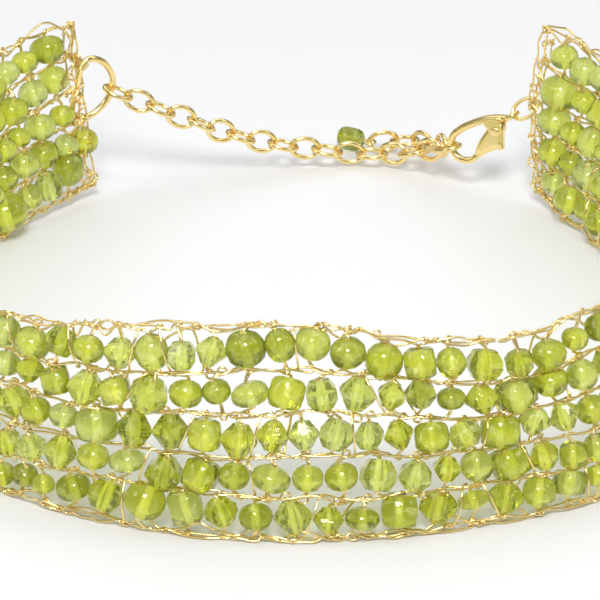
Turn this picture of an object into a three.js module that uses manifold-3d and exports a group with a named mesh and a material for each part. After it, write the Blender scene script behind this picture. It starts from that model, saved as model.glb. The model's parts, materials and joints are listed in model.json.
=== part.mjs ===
// Beaded choker: five rows of glass beads in a crocheted wire band, closed at the nape
// by a lobster clasp hooked into a short extender chain.
// Millimetres, +Z up, front of the neck towards -Y. The band stands on its lower edge.
import * as THREE from 'three';
import { mergeVertices } from 'three/addons/utils/BufferGeometryUtils.js';
import Module from 'manifold-3d';

const manifold = await Module();
manifold.setup();

// ---- driving dimensions -------------------------------------------------------------
const loopHalfWidth = 60;         // the band's foot line is an oval, left to right
const loopHalfDepth = 54.5;       // and front to back
const loopCentreX = -0.3;         // these put the middle of the whole piece over the origin
const loopCentreY = -6.05;
const leftEndAngle = -150.5;      // degrees round the oval from the front
const rightEndAngle = 148;
const frontSpan = 84.5;            // length of the charted stretch at the front
const fillPitch = 4.42;           // mean bead spacing round the sides
const wobbleHeight = 0.3;         // how far a bead strays across the band
const neckHalfWidth = 0.45;       // the little face where two beads of a row touch
const neckHalfHeight = 0.5;
const edgeWireRadius = 0.4;       // twisted strands along both edges
const edgeSteps = 36;
const endStrandRadius = 0.3;      // the strands that close each end of the band
const endStrandGap = 2.1;         // between the two strands of one end
const endClearance = 0.35;        // edge wires and bead rows stop short of the end loop
const rightEndBow = 2.4;          // the right end bulges, its corners are set back
const bowMiddle = 0.55;           // share of the height where the bulge is
const dRingWire = 0.42;
const dRingHeight = 9.8;          // between wire centres
const dRingDepth = 6.0;
const endHeight = 27;             // of the band at both of its ends
const dRingUp = 15.4;             // its middle, measured up the left end
const dRingTwist = 14;            // degrees, so that it threads the end loop
const linkWire = 0.3;
const linkWidth = 2.9;            // between wire centres
const linkLength = 4.25;
const chainLinks = 17;            // from the D ring to the clasp
const tailLinks = 5;              // spare links past the hooked one
const endShift = 0.78;            // a link crosses the wire it hangs on by this much more
const tailAlong = 0.9;            // where the tail leaves the hooked link, from its middle
const tailAside = 0.9;
const jumpRingLength = 4.1;
const jumpRingWidth = 2.9;
const jumpRingUp = 13.2;          // measured up the right end
const ringToStrand = 1.12;        // from the jump ring's middle to what it holds
const ringToEye = 2.3;
const claspLength = 8.9;          // eye centre to the middle of the hook
const claspHalfThickness = 1.25;  // at the shoulder that carries the cheeks
const hookHalfThickness = 0.55;
const leverHalfThickness = 0.6;
const cheekInner = 0.85;          // the cheeks hold the lever between them
const pivotU = 3.0;               // lever pin, along and across the clasp
const pivotV = -0.6;
const pinRadius = 0.35;
const pinHoleRadius = 0.62;
const dropReach = 3.3;            // from the drop's eye to the middle of its bead
const dropEye = 0.85;

// The band at named places round the oval. lean is inwards at the top, foot lifts the
// lower edge off the table, flare moves the whole wall outwards.
const sections = [
  { angle: -152, lean: -10, height: 27, foot: 1.8, flare: 1.6 },
  { angle: -134, lean: -8, height: 27.2, foot: 0.4, flare: -2.2 },
  { angle: -118, lean: -4, height: 27.4, foot: 0, flare: -4 },
  { angle: -85, lean: 2, height: 27, foot: 0, flare: -3.4 },
  { angle: -58, lean: 6, height: 26, foot: 0, flare: -1.4 },
  { angle: -41, lean: 9, height: 25.5, foot: 0, flare: 0 },
  { angle: -19, lean: 12, height: 28.4, foot: 0, flare: 0 },
  { angle: 0, lean: 13, height: 29.8, foot: 0, flare: 0 },
  { angle: 12, lean: 12, height: 27.8, foot: 0, flare: 0 },
  { angle: 26, lean: 10, height: 25.8, foot: 0, flare: 0.4 },
  { angle: 42, lean: 8, height: 27.6, foot: 0, flare: 2 },
  { angle: 62, lean: 2, height: 27.5, foot: 0, flare: -1 },
  { angle: 88, lean: -6, height: 27.5, foot: 0, flare: -5.6 },
  { angle: 118, lean: -12, height: 28, foot: 0, flare: -6.6 },
  { angle: 136, lean: -8, height: 28, foot: 0.3, flare: -2.4 },
  { angle: 150, lean: -2, height: 26.6, foot: 2, flare: 4 },
];

// Rows from the lower edge up: where the row lies as a share of the band's height, how
// far its charted stretch is shifted, and that stretch left to right by beadKinds letter.
const rows = [
  { share: 0.13, shift: -0.6, front: 'sssofVcfobbrcfrfvco' },
  { share: 0.305, shift: -0.3, front: 'ffborbcoroofbbvcbyv' },
  { share: 0.49, shift: -0.4, front: 'fooYbbybbbffbyfBbbo' },
  { share: 0.685, shift: -1.9, front: 'obcbcfooryfbbbobcov' },
  { share: 0.868, shift: 1.8, front: 'ofobvfbLvooVcvffooo' },
];

// width runs along the row, height along the bead's hole. form picks the solid, and
// table is the radius of its flat end as a share of its own radius.
const beadKinds = {
  o: { form: 'round', width: 4.2, height: 3.7, table: 0 },
  v: { form: 'round', width: 3.9, height: 4.4, table: 0 },
  s: { form: 'round', width: 3.2, height: 3.0, table: 0 },
  r: { form: 'round', width: 4.3, height: 2.9, table: 0 },
  L: { form: 'round', width: 5.7, height: 5.2, table: 0 },
  V: { form: 'round', width: 5.1, height: 5.0, table: 0 },
  y: { form: 'drum', width: 4.3, height: 4.0, table: 0 },
  Y: { form: 'drum', width: 5.2, height: 4.0, table: 0 },
  B: { form: 'drum', width: 5.8, height: 5.0, table: 0 },
  b: { form: 'cut', width: 4.3, height: 4.1, table: 0.42 },
  f: { form: 'cut', width: 4.4, height: 3.9, table: 0.66 },
  c: { form: 'cube', width: 4.3, height: 3.8, table: 0 },
};
const sideKinds = 'ooobbffvycro';
const napeKinds = 'ooovoobofoLo';
const napeBeads = 7;              // beads of each row that count as the nape end

const beadColours = ['#9fb53c', '#a6bb44', '#98ae36', '#a9bd4c', '#9cb23a'];
const wireColour = '#c9a13e';
const chainColour = '#e3c15e';

// Where the chain and its tail pass between their two ends.
const chainWay = [
  { x: -18.2, y: 53, z: 11.4 },
  { x: -7.8, y: 56.4, z: 6 },
  { x: 3, y: 58.6, z: 3.1 },
  { x: 12, y: 59, z: 2.2 },
];
const tailWay = [
  { x: 19.2, y: 60.4, z: 3.4 },
  { x: 16.1, y: 63.4, z: 2.3 },
  { x: 12.9, y: 64.2, z: 2.0 },
  { x: 10.9, y: 63.6, z: 1.95 },
];

const radians = THREE.MathUtils.degToRad;
const up = new THREE.Vector3(0, 0, 1);

// ---- the wall of the band -----------------------------------------------------------
// A smooth curve through one column of the section table.
function columnAt(key, angle) {
  let i = 0;
  while (i < sections.length - 2 && sections[i + 1].angle < angle) i += 1;
  const slope = (k) => {
    const before = sections[Math.max(k - 1, 0)];
    const after = sections[Math.min(k + 1, sections.length - 1)];
    return (after[key] - before[key]) / (after.angle - before.angle);
  };
  const span = sections[i + 1].angle - sections[i].angle;
  const t = (angle - sections[i].angle) / span;
  const low = (1 + 2 * t) * (1 - t) ** 2 * sections[i][key];
  const high = t * t * (3 - 2 * t) * sections[i + 1][key];
  return low + high + span * (t * (1 - t) ** 2 * slope(i) - t * t * (1 - t) * slope(i + 1));
}

function sectionAt(angle) {
  const section = {};
  for (const key of ['lean', 'height', 'foot', 'flare']) section[key] = columnAt(key, angle);
  section.foot = Math.max(section.foot, 0);
  return section;
}

function footPoint(angle) {
  const a = radians(angle);
  const level = new THREE.Vector3(loopHalfDepth * Math.sin(a), -loopHalfWidth * Math.cos(a), 0);
  level.normalize();
  const point = new THREE.Vector3(loopHalfWidth * Math.sin(a), -loopHalfDepth * Math.cos(a), 0);
  return point.addScaledVector(level, columnAt('flare', angle));
}

// Axes of the wall at an angle: along the row, up the wall, and outwards.
function wallFrame(angle) {
  const section = sectionAt(angle);
  const along = footPoint(angle + 0.5).sub(footPoint(angle - 0.5)).normalize();
  const level = new THREE.Vector3().crossVectors(along, up);
  const lean = radians(section.lean);
  const rise = level.clone().multiplyScalar(-Math.sin(lean));
  rise.addScaledVector(up, Math.cos(lean));
  const out = new THREE.Vector3().crossVectors(along, rise);
  const foot = footPoint(angle).setZ(section.foot);
  return { along, rise, out, foot, section };
}

function wallPoint(angle, distanceUp, outwards = 0) {
  const frame = wallFrame(angle);
  return frame.foot.clone().addScaledVector(frame.rise, distanceUp).addScaledVector(frame.out, outwards);
}

// Length of the band at mid height, tabulated so that beads can be spaced evenly.
const arcStep = 0.25;
const halfUp = 14;
const arcTable = [{ angle: leftEndAngle, length: 0 }];
for (let angle = leftEndAngle + arcStep; angle <= rightEndAngle + 1e-6; angle += arcStep) {
  const last = arcTable[arcTable.length - 1];
  const step = wallPoint(angle, halfUp).distanceTo(wallPoint(last.angle, halfUp));
  arcTable.push({ angle, length: last.length + step });
}
const bandLength = arcTable[arcTable.length - 1].length;
const frontLength = arcTable.find((entry) => entry.angle >= 0).length;

function angleAt(length) {
  let i = 0;
  while (i < arcTable.length - 2 && arcTable[i + 1].length < length) i += 1;
  const low = arcTable[i];
  const high = arcTable[i + 1];
  const t = (length - low.length) / (high.length - low.length);
  return THREE.MathUtils.lerp(low.angle, high.angle, t);
}

// ---- bead rows ----------------------------------------------------------------------
function chance(bead, row, salt) {
  const wave = Math.sin(bead * 12.9898 + row * 78.233 + salt * 37.719) * 43758.5453;
  return wave - Math.floor(wave);
}

// How far the right end is set back at a share of the band's height.
function rightSetback(share) {
  return rightEndBow * ((share - bowMiddle) / 0.5) ** 2;
}

// Letters and widths of one row from end to end, fitted exactly to its length.
function layRow(row) {
  const { share, shift, front } = rows[row];
  const inset = endStrandGap + endClearance + endStrandRadius * 2;
  const sideLeft = frontLength + shift - frontSpan / 2 - inset;
  const sideRight = bandLength - frontLength - shift - frontSpan / 2 - inset - rightSetback(share);
  const countLeft = Math.round(sideLeft / fillPitch);
  const countRight = Math.round(sideRight / fillPitch);
  const letters = [];
  const spans = [];
  const addStretch = (stretch, length) => {
    const total = stretch.reduce((sum, letter) => sum + beadKinds[letter].width, 0);
    for (const letter of stretch) {
      letters.push(letter);
      spans.push(beadKinds[letter].width * length / total);
    }
  };
  const pick = (i, nape) => {
    const kinds = nape ? napeKinds : sideKinds;
    return kinds[Math.floor(chance(i, row, 1) * kinds.length)];
  };
  const left = Array.from({ length: countLeft }, (_, i) => pick(i, i < napeBeads));
  const right = Array.from({ length: countRight }, (_, i) => pick(i + 100, i >= countRight - napeBeads));
  addStretch(left, sideLeft);
  addStretch([...front], frontSpan);
  addStretch(right, sideRight);
  let reached = inset;
  return letters.map((letter, i) => {
    const middle = reached + spans[i] / 2;
    reached += spans[i];
    const angle = angleAt(middle);
    const section = sectionAt(angle);
    const wobble = (chance(i, row, 2) * 2 - 1) * wobbleHeight;
    return {
      kind: beadKinds[letter],
      width: spans[i],
      end: reached,
      up: share * section.height + wobble,
      scale: THREE.MathUtils.clamp(section.height / 28, 0.92, 1.03),
      frame: wallFrame(angle),
    };
  });
}

// Corner points of the face shared by two beads, two above and two below.
function neckPoints(frame, distanceUp) {
  const middle = frame.foot.clone().addScaledVector(frame.rise, distanceUp);
  const corner = (m, w) => middle.clone().addScaledVector(frame.out, m * neckHalfWidth)
    .addScaledVector(frame.rise, w * neckHalfHeight);
  return { topOut: corner(1, 1), topIn: corner(-1, 1), lowOut: corner(1, -1), lowIn: corner(-1, -1) };
}

// Triangle soup with quads and fans, wound counter-clockwise seen from outside.
class Skin {
  constructor() {
    this.positions = [];
  }

  triangle(a, b, c) {
    for (const p of [a, b, c]) this.positions.push(p.x, p.y, p.z);
  }

  quad(a, b, c, d) {
    this.triangle(a, b, c);
    this.triangle(a, c, d);
  }

  fan(points) {
    for (let i = 1; i < points.length - 1; i += 1) this.triangle(points[0], points[i], points[i + 1]);
  }

  geometry() {
    const soup = new THREE.BufferGeometry();
    soup.setAttribute('position', new THREE.Float32BufferAttribute(this.positions, 3));
    return mergeVertices(soup, 1e-4);
  }
}

// A ring of points round the bead's hole. The first side of the ring faces the next
// bead of the row and the middle one faces the bead before it.
function ringRound(bead, sides, radius, height, firstHalfAngle) {
  const middle = bead.centre.clone().addScaledVector(bead.frame.rise, height);
  return Array.from({ length: sides }, (_, k) => {
    const angle = firstHalfAngle[k];
    return middle.clone().addScaledVector(bead.frame.along, Math.cos(angle) * radius)
      .addScaledVector(bead.frame.out, Math.sin(angle) * radius);
  });
}

function evenAngles(sides) {
  return Array.from({ length: sides }, (_, k) => (k + 0.5) / sides * Math.PI * 2);
}

// Round and drum beads: two rings joined by side faces, closed by points or flat ends.
function ringedBead(skin, bead, angles, ringRadius, ringHeight, pointed, before, after) {
  const sides = angles.length;
  const half = sides / 2;
  const top = ringRound(bead, sides, ringRadius, ringHeight, angles);
  const low = ringRound(bead, sides, ringRadius, -ringHeight, angles);
  [top[0], top[sides - 1], low[0], low[sides - 1]] = [after.topOut, after.topIn, after.lowOut, after.lowIn];
  [top[half - 1], top[half], low[half - 1], low[half]] = [
    before.topOut, before.topIn, before.lowOut, before.lowIn];
  for (let k = 0; k < sides; k += 1) {
    const next = (k + 1) % sides;
    if (k !== sides - 1 && k !== half - 1) skin.quad(low[k], top[k], top[next], low[next]);
  }
  if (pointed) {
    const rise = bead.height / 2;
    const peak = bead.centre.clone().addScaledVector(bead.frame.rise, rise);
    const base = bead.centre.clone().addScaledVector(bead.frame.rise, -rise);
    for (let k = 0; k < sides; k += 1) {
      const next = (k + 1) % sides;
      skin.triangle(peak, top[next], top[k]);
      skin.triangle(base, low[k], low[next]);
    }
  } else {
    skin.fan([...top].reverse());
    skin.fan(low);
  }
}

// Cut beads: a six-sided double cone with a flat table at each end.
function cutBead(skin, bead, radius, before, after) {
  const angles = evenAngles(6);
  const tableRadius = bead.kind.table * radius;
  const top = ringRound(bead, 6, tableRadius, bead.height / 2, angles);
  const low = ringRound(bead, 6, tableRadius, -bead.height / 2, angles);
  const girdle = ringRound(bead, 6, radius, 0, angles);
  const upper = [after.topOut, girdle[1], before.topOut, before.topIn, girdle[4], after.topIn];
  const lower = [after.lowOut, girdle[1], before.lowOut, before.lowIn, girdle[4], after.lowIn];
  for (let k = 0; k < 6; k += 1) {
    const next = (k + 1) % 6;
    skin.quad(upper[k], top[k], top[next], upper[next]);
    skin.quad(low[k], lower[k], lower[next], low[next]);
    if (k === 0 || k === 3) skin.triangle(lower[k], upper[k], girdle[k === 0 ? 1 : 4]);
    if (k === 1 || k === 4) skin.triangle(girdle[k], upper[next], lower[next]);
  }
  skin.fan([...top].reverse());
  skin.fan(low);
}

function addBead(skin, bead, before, after) {
  const radius = bead.width / 2 * 1.02;
  if (bead.kind.form === 'round') {
    ringedBead(skin, bead, evenAngles(10), radius, bead.height * 0.26, true, before, after);
  } else if (bead.kind.form === 'drum') {
    ringedBead(skin, bead, evenAngles(10), radius, bead.height * 0.42, true, before, after);
  } else if (bead.kind.form === 'cut') {
    cutBead(skin, bead, radius * 1.04, before, after);
  } else {
    const corners = [20, 70, 110, 160, 200, 250, 290, 340].map(radians);
    ringedBead(skin, bead, corners, radius * 1.08, bead.height / 2, false, before, after);
  }
}

function makeRow(row) {
  const beads = layRow(row);
  const skin = new Skin();
  const necks = beads.map((bead, i) => {
    const other = beads[Math.min(i + 1, beads.length - 1)];
    return neckPoints(wallFrame(angleAt(bead.end)), (bead.up + other.up) / 2);
  });
  const first = neckPoints(wallFrame(angleAt(beads[0].end - beads[0].width)), beads[0].up);
  beads.forEach((bead, i) => {
    bead.height = bead.kind.height * bead.scale;
    bead.centre = bead.frame.foot.clone().addScaledVector(bead.frame.rise, bead.up);
    addBead(skin, bead, i === 0 ? first : necks[i - 1], necks[i]);
  });
  const last = necks[necks.length - 1];
  skin.quad(first.topOut, first.topIn, first.lowIn, first.lowOut);
  skin.quad(last.topIn, last.topOut, last.lowOut, last.lowIn);
  return skin.geometry();
}

// ---- wires --------------------------------------------------------------------------
class WallLine extends THREE.Curve {
  constructor(startAngle, endAngle, upAt) {
    super();
    this.startAngle = startAngle;
    this.endAngle = endAngle;
    this.upAt = upAt;
  }

  getPoint(t) {
    const angle = THREE.MathUtils.lerp(this.startAngle, this.endAngle, t);
    return wallPoint(angle, this.upAt(sectionAt(angle)));
  }
}

// A polygon with one flat side towards +x, which the sweep turns to face down.
function wireSection(radius, sides) {
  const points = Array.from({ length: sides }, (_, k) => {
    const angle = (k + 0.5) / sides * Math.PI * 2;
    return new THREE.Vector2(Math.cos(angle) * radius, Math.sin(angle) * radius);
  });
  return new THREE.Shape(points);
}

// The lower edge wire is pressed flat where it stands on a table.
function pressFlat(geometry) {
  const position = geometry.attributes.position;
  for (let i = 0; i < position.count; i += 1) {
    if (Math.abs(position.getZ(i) + flatSide) < 0.03) position.setZ(i, -flatSide);
  }
  return geometry;
}

function openTube(curve, radius, sides, steps) {
  return new THREE.ExtrudeGeometry(wireSection(radius, sides), { steps, extrudePath: curve });
}

// A ring of wire whose two ends meet, so nothing is left open.
function closedTube(curve, radius, sides, steps) {
  return new THREE.TubeGeometry(curve, steps, radius, sides, true);
}

// A link lying in XY with its length along X: a round ring drawn out at its waist.
function linkGeometry(length, width, wire, sides = 5, corners = 10) {
  const ring = new THREE.TorusGeometry(width / 2, wire, sides, corners);
  const stretch = (length - width) / 2;
  const position = ring.attributes.position;
  for (let i = 0; i < position.count; i += 1) {
    const x = position.getX(i);
    position.setX(i, x + Math.sign(x) * stretch);
  }
  return ring;
}

// ---- joining and cutting ------------------------------------------------------------
function toSolid(geometry) {
  const bare = geometry.index ? geometry.toNonIndexed() : geometry.clone();
  bare.deleteAttribute('normal');
  bare.deleteAttribute('uv');
  const merged = mergeVertices(bare, 1e-4);
  return new manifold.Manifold(new manifold.Mesh({
    numProp: 3,
    vertProperties: new Float32Array(merged.attributes.position.array),
    triVerts: new Uint32Array(merged.index.array),
  }));
}

function fromSolid(solid) {
  const mesh = solid.getMesh();
  const geometry = new THREE.BufferGeometry();
  geometry.setAttribute('position', new THREE.Float32BufferAttribute(mesh.vertProperties, 3));
  geometry.setIndex([...mesh.triVerts]);
  return geometry;
}

function fuse(geometries) {
  return geometries.map(toSolid).reduce((whole, piece) => whole.add(piece));
}

// ---- clasp --------------------------------------------------------------------------
const hookRadius = 2.85;
const hookInner = 1.85;
const eyeRadius = 1.0;             // to the middle of its wire
const eyeWire = 0.36;

function plate(shape, low, high, bevel = 0) {
  const geometry = new THREE.ExtrudeGeometry(shape, {
    depth: high - low - bevel * 2,
    bevelEnabled: bevel > 0,
    bevelSize: bevel,
    bevelOffset: -bevel,
    bevelThickness: bevel,
    bevelSegments: 1,
    curveSegments: 5,
  });
  geometry.translate(0, 0, low + bevel);
  return geometry;
}

// A round bar across the clasp's thickness, for the pin and for the holes.
function rod(radius, x, y, length) {
  const bar = new THREE.CylinderGeometry(radius, radius, length, 10);
  bar.rotateX(Math.PI / 2);
  bar.translate(x, y, 0);
  return bar;
}

// Spine and hook are one outline along +x. The eye at the origin is a ring whose hole runs
// along y, so that the jump ring through it lies in the plane of the clasp.
function claspBody() {
  const frame = new THREE.Shape();
  frame.moveTo(0.95, -0.35);
  frame.lineTo(0.95, 0.35);
  frame.quadraticCurveTo(3.4, 2.1, claspLength - 1.2, hookRadius - 0.25);
  frame.absarc(claspLength, -0.1, hookRadius, radians(104), radians(-100), true);
  frame.absarc(claspLength - 0.1, -0.05, hookInner, radians(-97), radians(110), false);
  frame.lineTo(5.1, 1.4);
  frame.lineTo(3.0, 0.9);
  frame.lineTo(1.75, 0.1);
  const shoulder = new THREE.Shape();
  shoulder.moveTo(1.7, 0.4);
  shoulder.lineTo(3.2, 1.1);
  shoulder.lineTo(5.4, 1.6);
  shoulder.lineTo(5.2, 2.1);
  shoulder.lineTo(3.2, 1.7);
  shoulder.lineTo(1.6, 0.9);
  const cheek = new THREE.Shape();
  cheek.absarc(pivotU, pivotV, 1.15, radians(-130), radians(10), false);
  cheek.lineTo(4.5, 1.5);
  cheek.lineTo(2.2, 1.0);
  cheek.lineTo(1.75, -0.5);
  const eye = new THREE.TorusGeometry(eyeRadius, eyeWire, 6, 12);
  eye.rotateX(Math.PI / 2);
  return fromSolid(fuse([
    plate(frame, -hookHalfThickness, hookHalfThickness, 0.25),
    plate(shoulder, -claspHalfThickness, claspHalfThickness),
    plate(cheek, cheekInner, claspHalfThickness),
    plate(cheek, -claspHalfThickness, -cheekInner),
    rod(pinRadius, pivotU, pivotV, cheekInner * 2 + 0.4),
    eye,
  ]));
}

// Lever with its thumb nub, drawn from the pin at its own origin.
function claspLever() {
  const outline = new THREE.Shape();
  outline.absarc(0, 0, 1.1, radians(75), radians(215), false);
  outline.lineTo(0.35, -1.95);
  outline.lineTo(0.75, -2.45);
  outline.quadraticCurveTo(1.3, -3.05, 1.85, -2.45);
  outline.lineTo(4.6, -1.8);
  outline.lineTo(4.9, -1.05);
  outline.quadraticCurveTo(3.1, 0.2, 0.9, 0.85);
  const solid = toSolid(plate(outline, -leverHalfThickness, leverHalfThickness, 0.15));
  return fromSolid(solid.subtract(toSolid(rod(pinHoleRadius, 0, 0, leverHalfThickness * 3))));
}

// ---- assembly -----------------------------------------------------------------------
const choker = new THREE.Group();
choker.position.set(loopCentreX, loopCentreY, 0);

function addPiece(name, geometry, colour, finish, parent = choker) {
  const material = new THREE.MeshStandardMaterial({ color: colour, ...finish });
  const mesh = new THREE.Mesh(geometry, material);
  mesh.name = name;
  parent.add(mesh);
  return mesh;
}

const glass = { roughness: 0.15, metalness: 0 };
const gold = { roughness: 0.28, metalness: 1 };

function turnTo(mesh, origin, xAxis, yAxis) {
  const x = xAxis.clone().normalize();
  const z = new THREE.Vector3().crossVectors(x, yAxis).normalize();
  const y = new THREE.Vector3().crossVectors(z, x);
  mesh.quaternion.setFromRotationMatrix(new THREE.Matrix4().makeBasis(x, y, z));
  mesh.position.copy(origin);
}

rows.forEach((_, row) => {
  addPiece(`bead_row_${row + 1}`, makeRow(row), beadColours[row], glass);
});

const edgeInset = endStrandGap + endClearance + endStrandRadius;
const edgeStart = angleAt(edgeInset);
const flatSide = edgeWireRadius * Math.cos(Math.PI / 5);
const lowerLine = new WallLine(edgeStart, angleAt(bandLength - edgeInset - rightSetback(0)), () => 0);
const upperLine = new WallLine(
  edgeStart,
  angleAt(bandLength - edgeInset - rightSetback(1)),
  (section) => section.height - edgeWireRadius,
);
addPiece('bottom_edge_wire', pressFlat(openTube(lowerLine, edgeWireRadius, 5, edgeSteps)), wireColour, gold)
  .position.z = flatSide;
addPiece('top_edge_wire', openTube(upperLine, edgeWireRadius, 5, edgeSteps), wireColour, gold);

// The end loop: two strands that run up the end of the band and join at top and foot.
// lengthAt gives the place along the band for a share of its height and a distance in.
function endLoop(lengthAt) {
  const height = sectionAt(angleAt(lengthAt(0.5, 0))).height;
  const low = endStrandRadius * 2;
  const high = height - endStrandRadius * 2;
  const turn = endStrandGap * 0.45;
  const place = (level, inwards) => wallPoint(angleAt(lengthAt(level / height, inwards)), level);
  const levels = [low + turn, height * 0.3, height * 0.55, height * 0.78, high - turn];
  const points = [
    ...levels.map((level) => place(level, 0)),
    place(high, endStrandGap / 2),
    ...[...levels].reverse().map((level) => place(level, endStrandGap)),
    place(low, endStrandGap / 2),
  ];
  return closedTube(new THREE.CatmullRomCurve3(points, true, 'centripetal'), endStrandRadius, 5, 20);
}

// Places along the band, measured in from each end of it.
const leftLength = (_, inwards) => endStrandRadius + inwards;
const rightLength = (share, inwards) => bandLength - endStrandRadius - inwards - rightSetback(share);
addPiece('end_loop_left', endLoop(leftLength), wireColour, gold);
addPiece('end_loop_right', endLoop(rightLength), wireColour, gold);

// D ring: its straight side lies between the two strands of the left end.
const leftStrandAngle = angleAt(leftLength(dRingUp / endHeight, 0));
const leftFrame = wallFrame(leftStrandAngle);
const dRingStrand = wallPoint(leftStrandAngle, dRingUp);
const dRingOut = new THREE.Vector3(0.84, 0.5, -0.2).normalize();
const dRingRise = leftFrame.rise.clone().applyAxisAngle(dRingOut, radians(dRingTwist));
const dRingCurve = new THREE.CatmullRomCurve3([
  [0, -0.36], [0.22, -0.5], [0.62, -0.42], [0.93, -0.2], [1, 0.02],
  [0.93, 0.22], [0.62, 0.43], [0.22, 0.5], [0, 0.36], [0, 0],
].map(([depth, height]) => new THREE.Vector3(depth * dRingDepth, height * dRingHeight, 0)), true);
const dRing = addPiece('d_ring', closedTube(dRingCurve, dRingWire, 6, 16), chainColour, gold);
const dRingBack = endStrandGap / 2;
turnTo(dRing, dRingStrand.clone().addScaledVector(dRingOut, -dRingBack), dRingOut, dRingRise);
dRing.updateMatrix();
const insideDRing = new THREE.Vector3(dRingDepth - endShift, 0, 0).applyMatrix4(dRing.matrix);

// Jump ring and clasp at the right end, laid out from the strand they hang on.
const rightStrandAngle = angleAt(rightLength(jumpRingUp / endHeight, 0));
const rightFrame = wallFrame(rightStrandAngle);
const ringStrand = wallPoint(rightStrandAngle, jumpRingUp);
const ringWay = new THREE.Vector3(-0.83, 0.06, -0.55).normalize();
const ringSide = new THREE.Vector3(0, -0.6, 0.8).cross(ringWay);
const ringCentre = ringStrand.clone().addScaledVector(ringWay, ringToStrand);
const jumpRingShape = linkGeometry(jumpRingLength, jumpRingWidth, linkWire);


const claspWay = new THREE.Vector3(-0.75, 0.22, -0.62).normalize();
const claspFace = new THREE.Vector3(0, -0.89, 0.45);
claspFace.addScaledVector(claspWay, -claspFace.dot(claspWay)).normalize();
const claspAcross = new THREE.Vector3().crossVectors(claspWay, claspFace);
turnTo(addPiece('jump_ring', jumpRingShape, chainColour, gold), ringCentre, ringWay, ringSide);
const claspGroup = new THREE.Group();
choker.add(claspGroup);
const eyeCentre = ringCentre.clone().addScaledVector(ringWay, ringToEye);
turnTo(claspGroup, eyeCentre, claspWay, claspAcross);
addPiece('clasp_body', claspBody(), chainColour, gold, claspGroup);
const lever = addPiece('clasp_lever', claspLever(), chainColour, gold, claspGroup);
lever.position.set(pivotU, pivotV, 0);

// Chain links follow a curve, turned a quarter from one to the next.
function layChain(names, curve, firstFlat, pitch) {
  const length = curve.getLength();
  names.forEach((name, i) => {
    const from = curve.getPointAt(Math.min(pitch * i / length, 1));
    const to = curve.getPointAt(Math.min(pitch * (i + 1) / length, 1));
    const along = to.clone().sub(from);
    const flat = (i % 2 === 0) === firstFlat;
    const side = new THREE.Vector3().crossVectors(up, along);
    const standing = new THREE.Vector3().crossVectors(along, side);
    const link = addPiece(name, linkGeometry(linkLength, linkWidth, linkWire), chainColour, gold);
    turnTo(link, from.add(to).multiplyScalar(0.5), along, flat ? side : standing);
  });
}

const hookAngle = radians(20);
const hookWire = (hookRadius + hookInner) / 2;
claspGroup.updateMatrix();
const insideHook = new THREE.Vector3(
  claspLength + Math.cos(hookAngle) * (hookWire - endShift),
  -0.1 + Math.sin(hookAngle) * (hookWire - endShift),
  0,
).applyMatrix4(claspGroup.matrix);
const toPoint = ({ x, y, z }) => new THREE.Vector3(x, y, z);
const chainCurve = new THREE.CatmullRomCurve3([insideDRing, ...chainWay.map(toPoint), insideHook]);
const chainPitch = chainCurve.getLength() / chainLinks;
const chainNames = Array.from({ length: chainLinks }, (_, i) => `chain_link_${i + 1}`);
layChain(chainNames, chainCurve, true, chainPitch);
// The tail starts inside the hooked link, beside the link before it.
const hooked = chainCurve.getPointAt(1 - 0.5 / chainLinks);
const hookedWay = chainCurve.getTangentAt(1 - 0.5 / chainLinks);
const hookedSide = new THREE.Vector3().crossVectors(up, hookedWay).normalize();
const tailStart = hooked.clone().addScaledVector(hookedWay, -tailAlong);
tailStart.addScaledVector(hookedSide, tailAside);
const tailCurve = new THREE.CatmullRomCurve3([tailStart, ...tailWay.map(toPoint)]);
const tailPitch = tailCurve.getLength() / tailLinks;
const tailNames = Array.from({ length: tailLinks }, (_, i) => `tail_link_${i + 1}`);
layChain(tailNames, tailCurve, false, tailPitch);

// Drop at the end of the tail: a barrel bead on a pin, with the pin's eye as one piece.
function dropBead() {
  const profile = [[0, 1.9], [1.0, 1.75], [1.55, 0.7], [1.55, -0.7], [1.0, -1.75], [0, -1.9]];
  const outline = profile.map(([radius, height]) => new THREE.Vector2(radius, -height));
  const barrel = new THREE.LatheGeometry(outline, 10);
  barrel.rotateZ(-Math.PI / 2);
  barrel.translate(dropReach, 0, 0);
  const pin = new THREE.CylinderGeometry(0.28, 0.28, dropReach + 1.9, 6);
  pin.rotateZ(Math.PI / 2);
  pin.translate(dropReach / 2 + 1.5, 0, 0);
  return fromSolid(fuse([barrel, pin, new THREE.TorusGeometry(dropEye, 0.25, 5, 10)]));
}

const dropWay = new THREE.Vector3(-0.86, 0.5, -0.02).normalize();
const dropCentre = tailCurve.getPointAt(1).addScaledVector(dropWay, dropEye - 0.4);
const dropSide = new THREE.Vector3().crossVectors(up, dropWay);
turnTo(addPiece('drop_bead', dropBead(), beadColours[0], glass), dropCentre, dropWay, dropSide);

export default choker;
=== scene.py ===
import json
import math

import bmesh
import bpy
import numpy as np
from mathutils import Matrix, Vector


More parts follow.
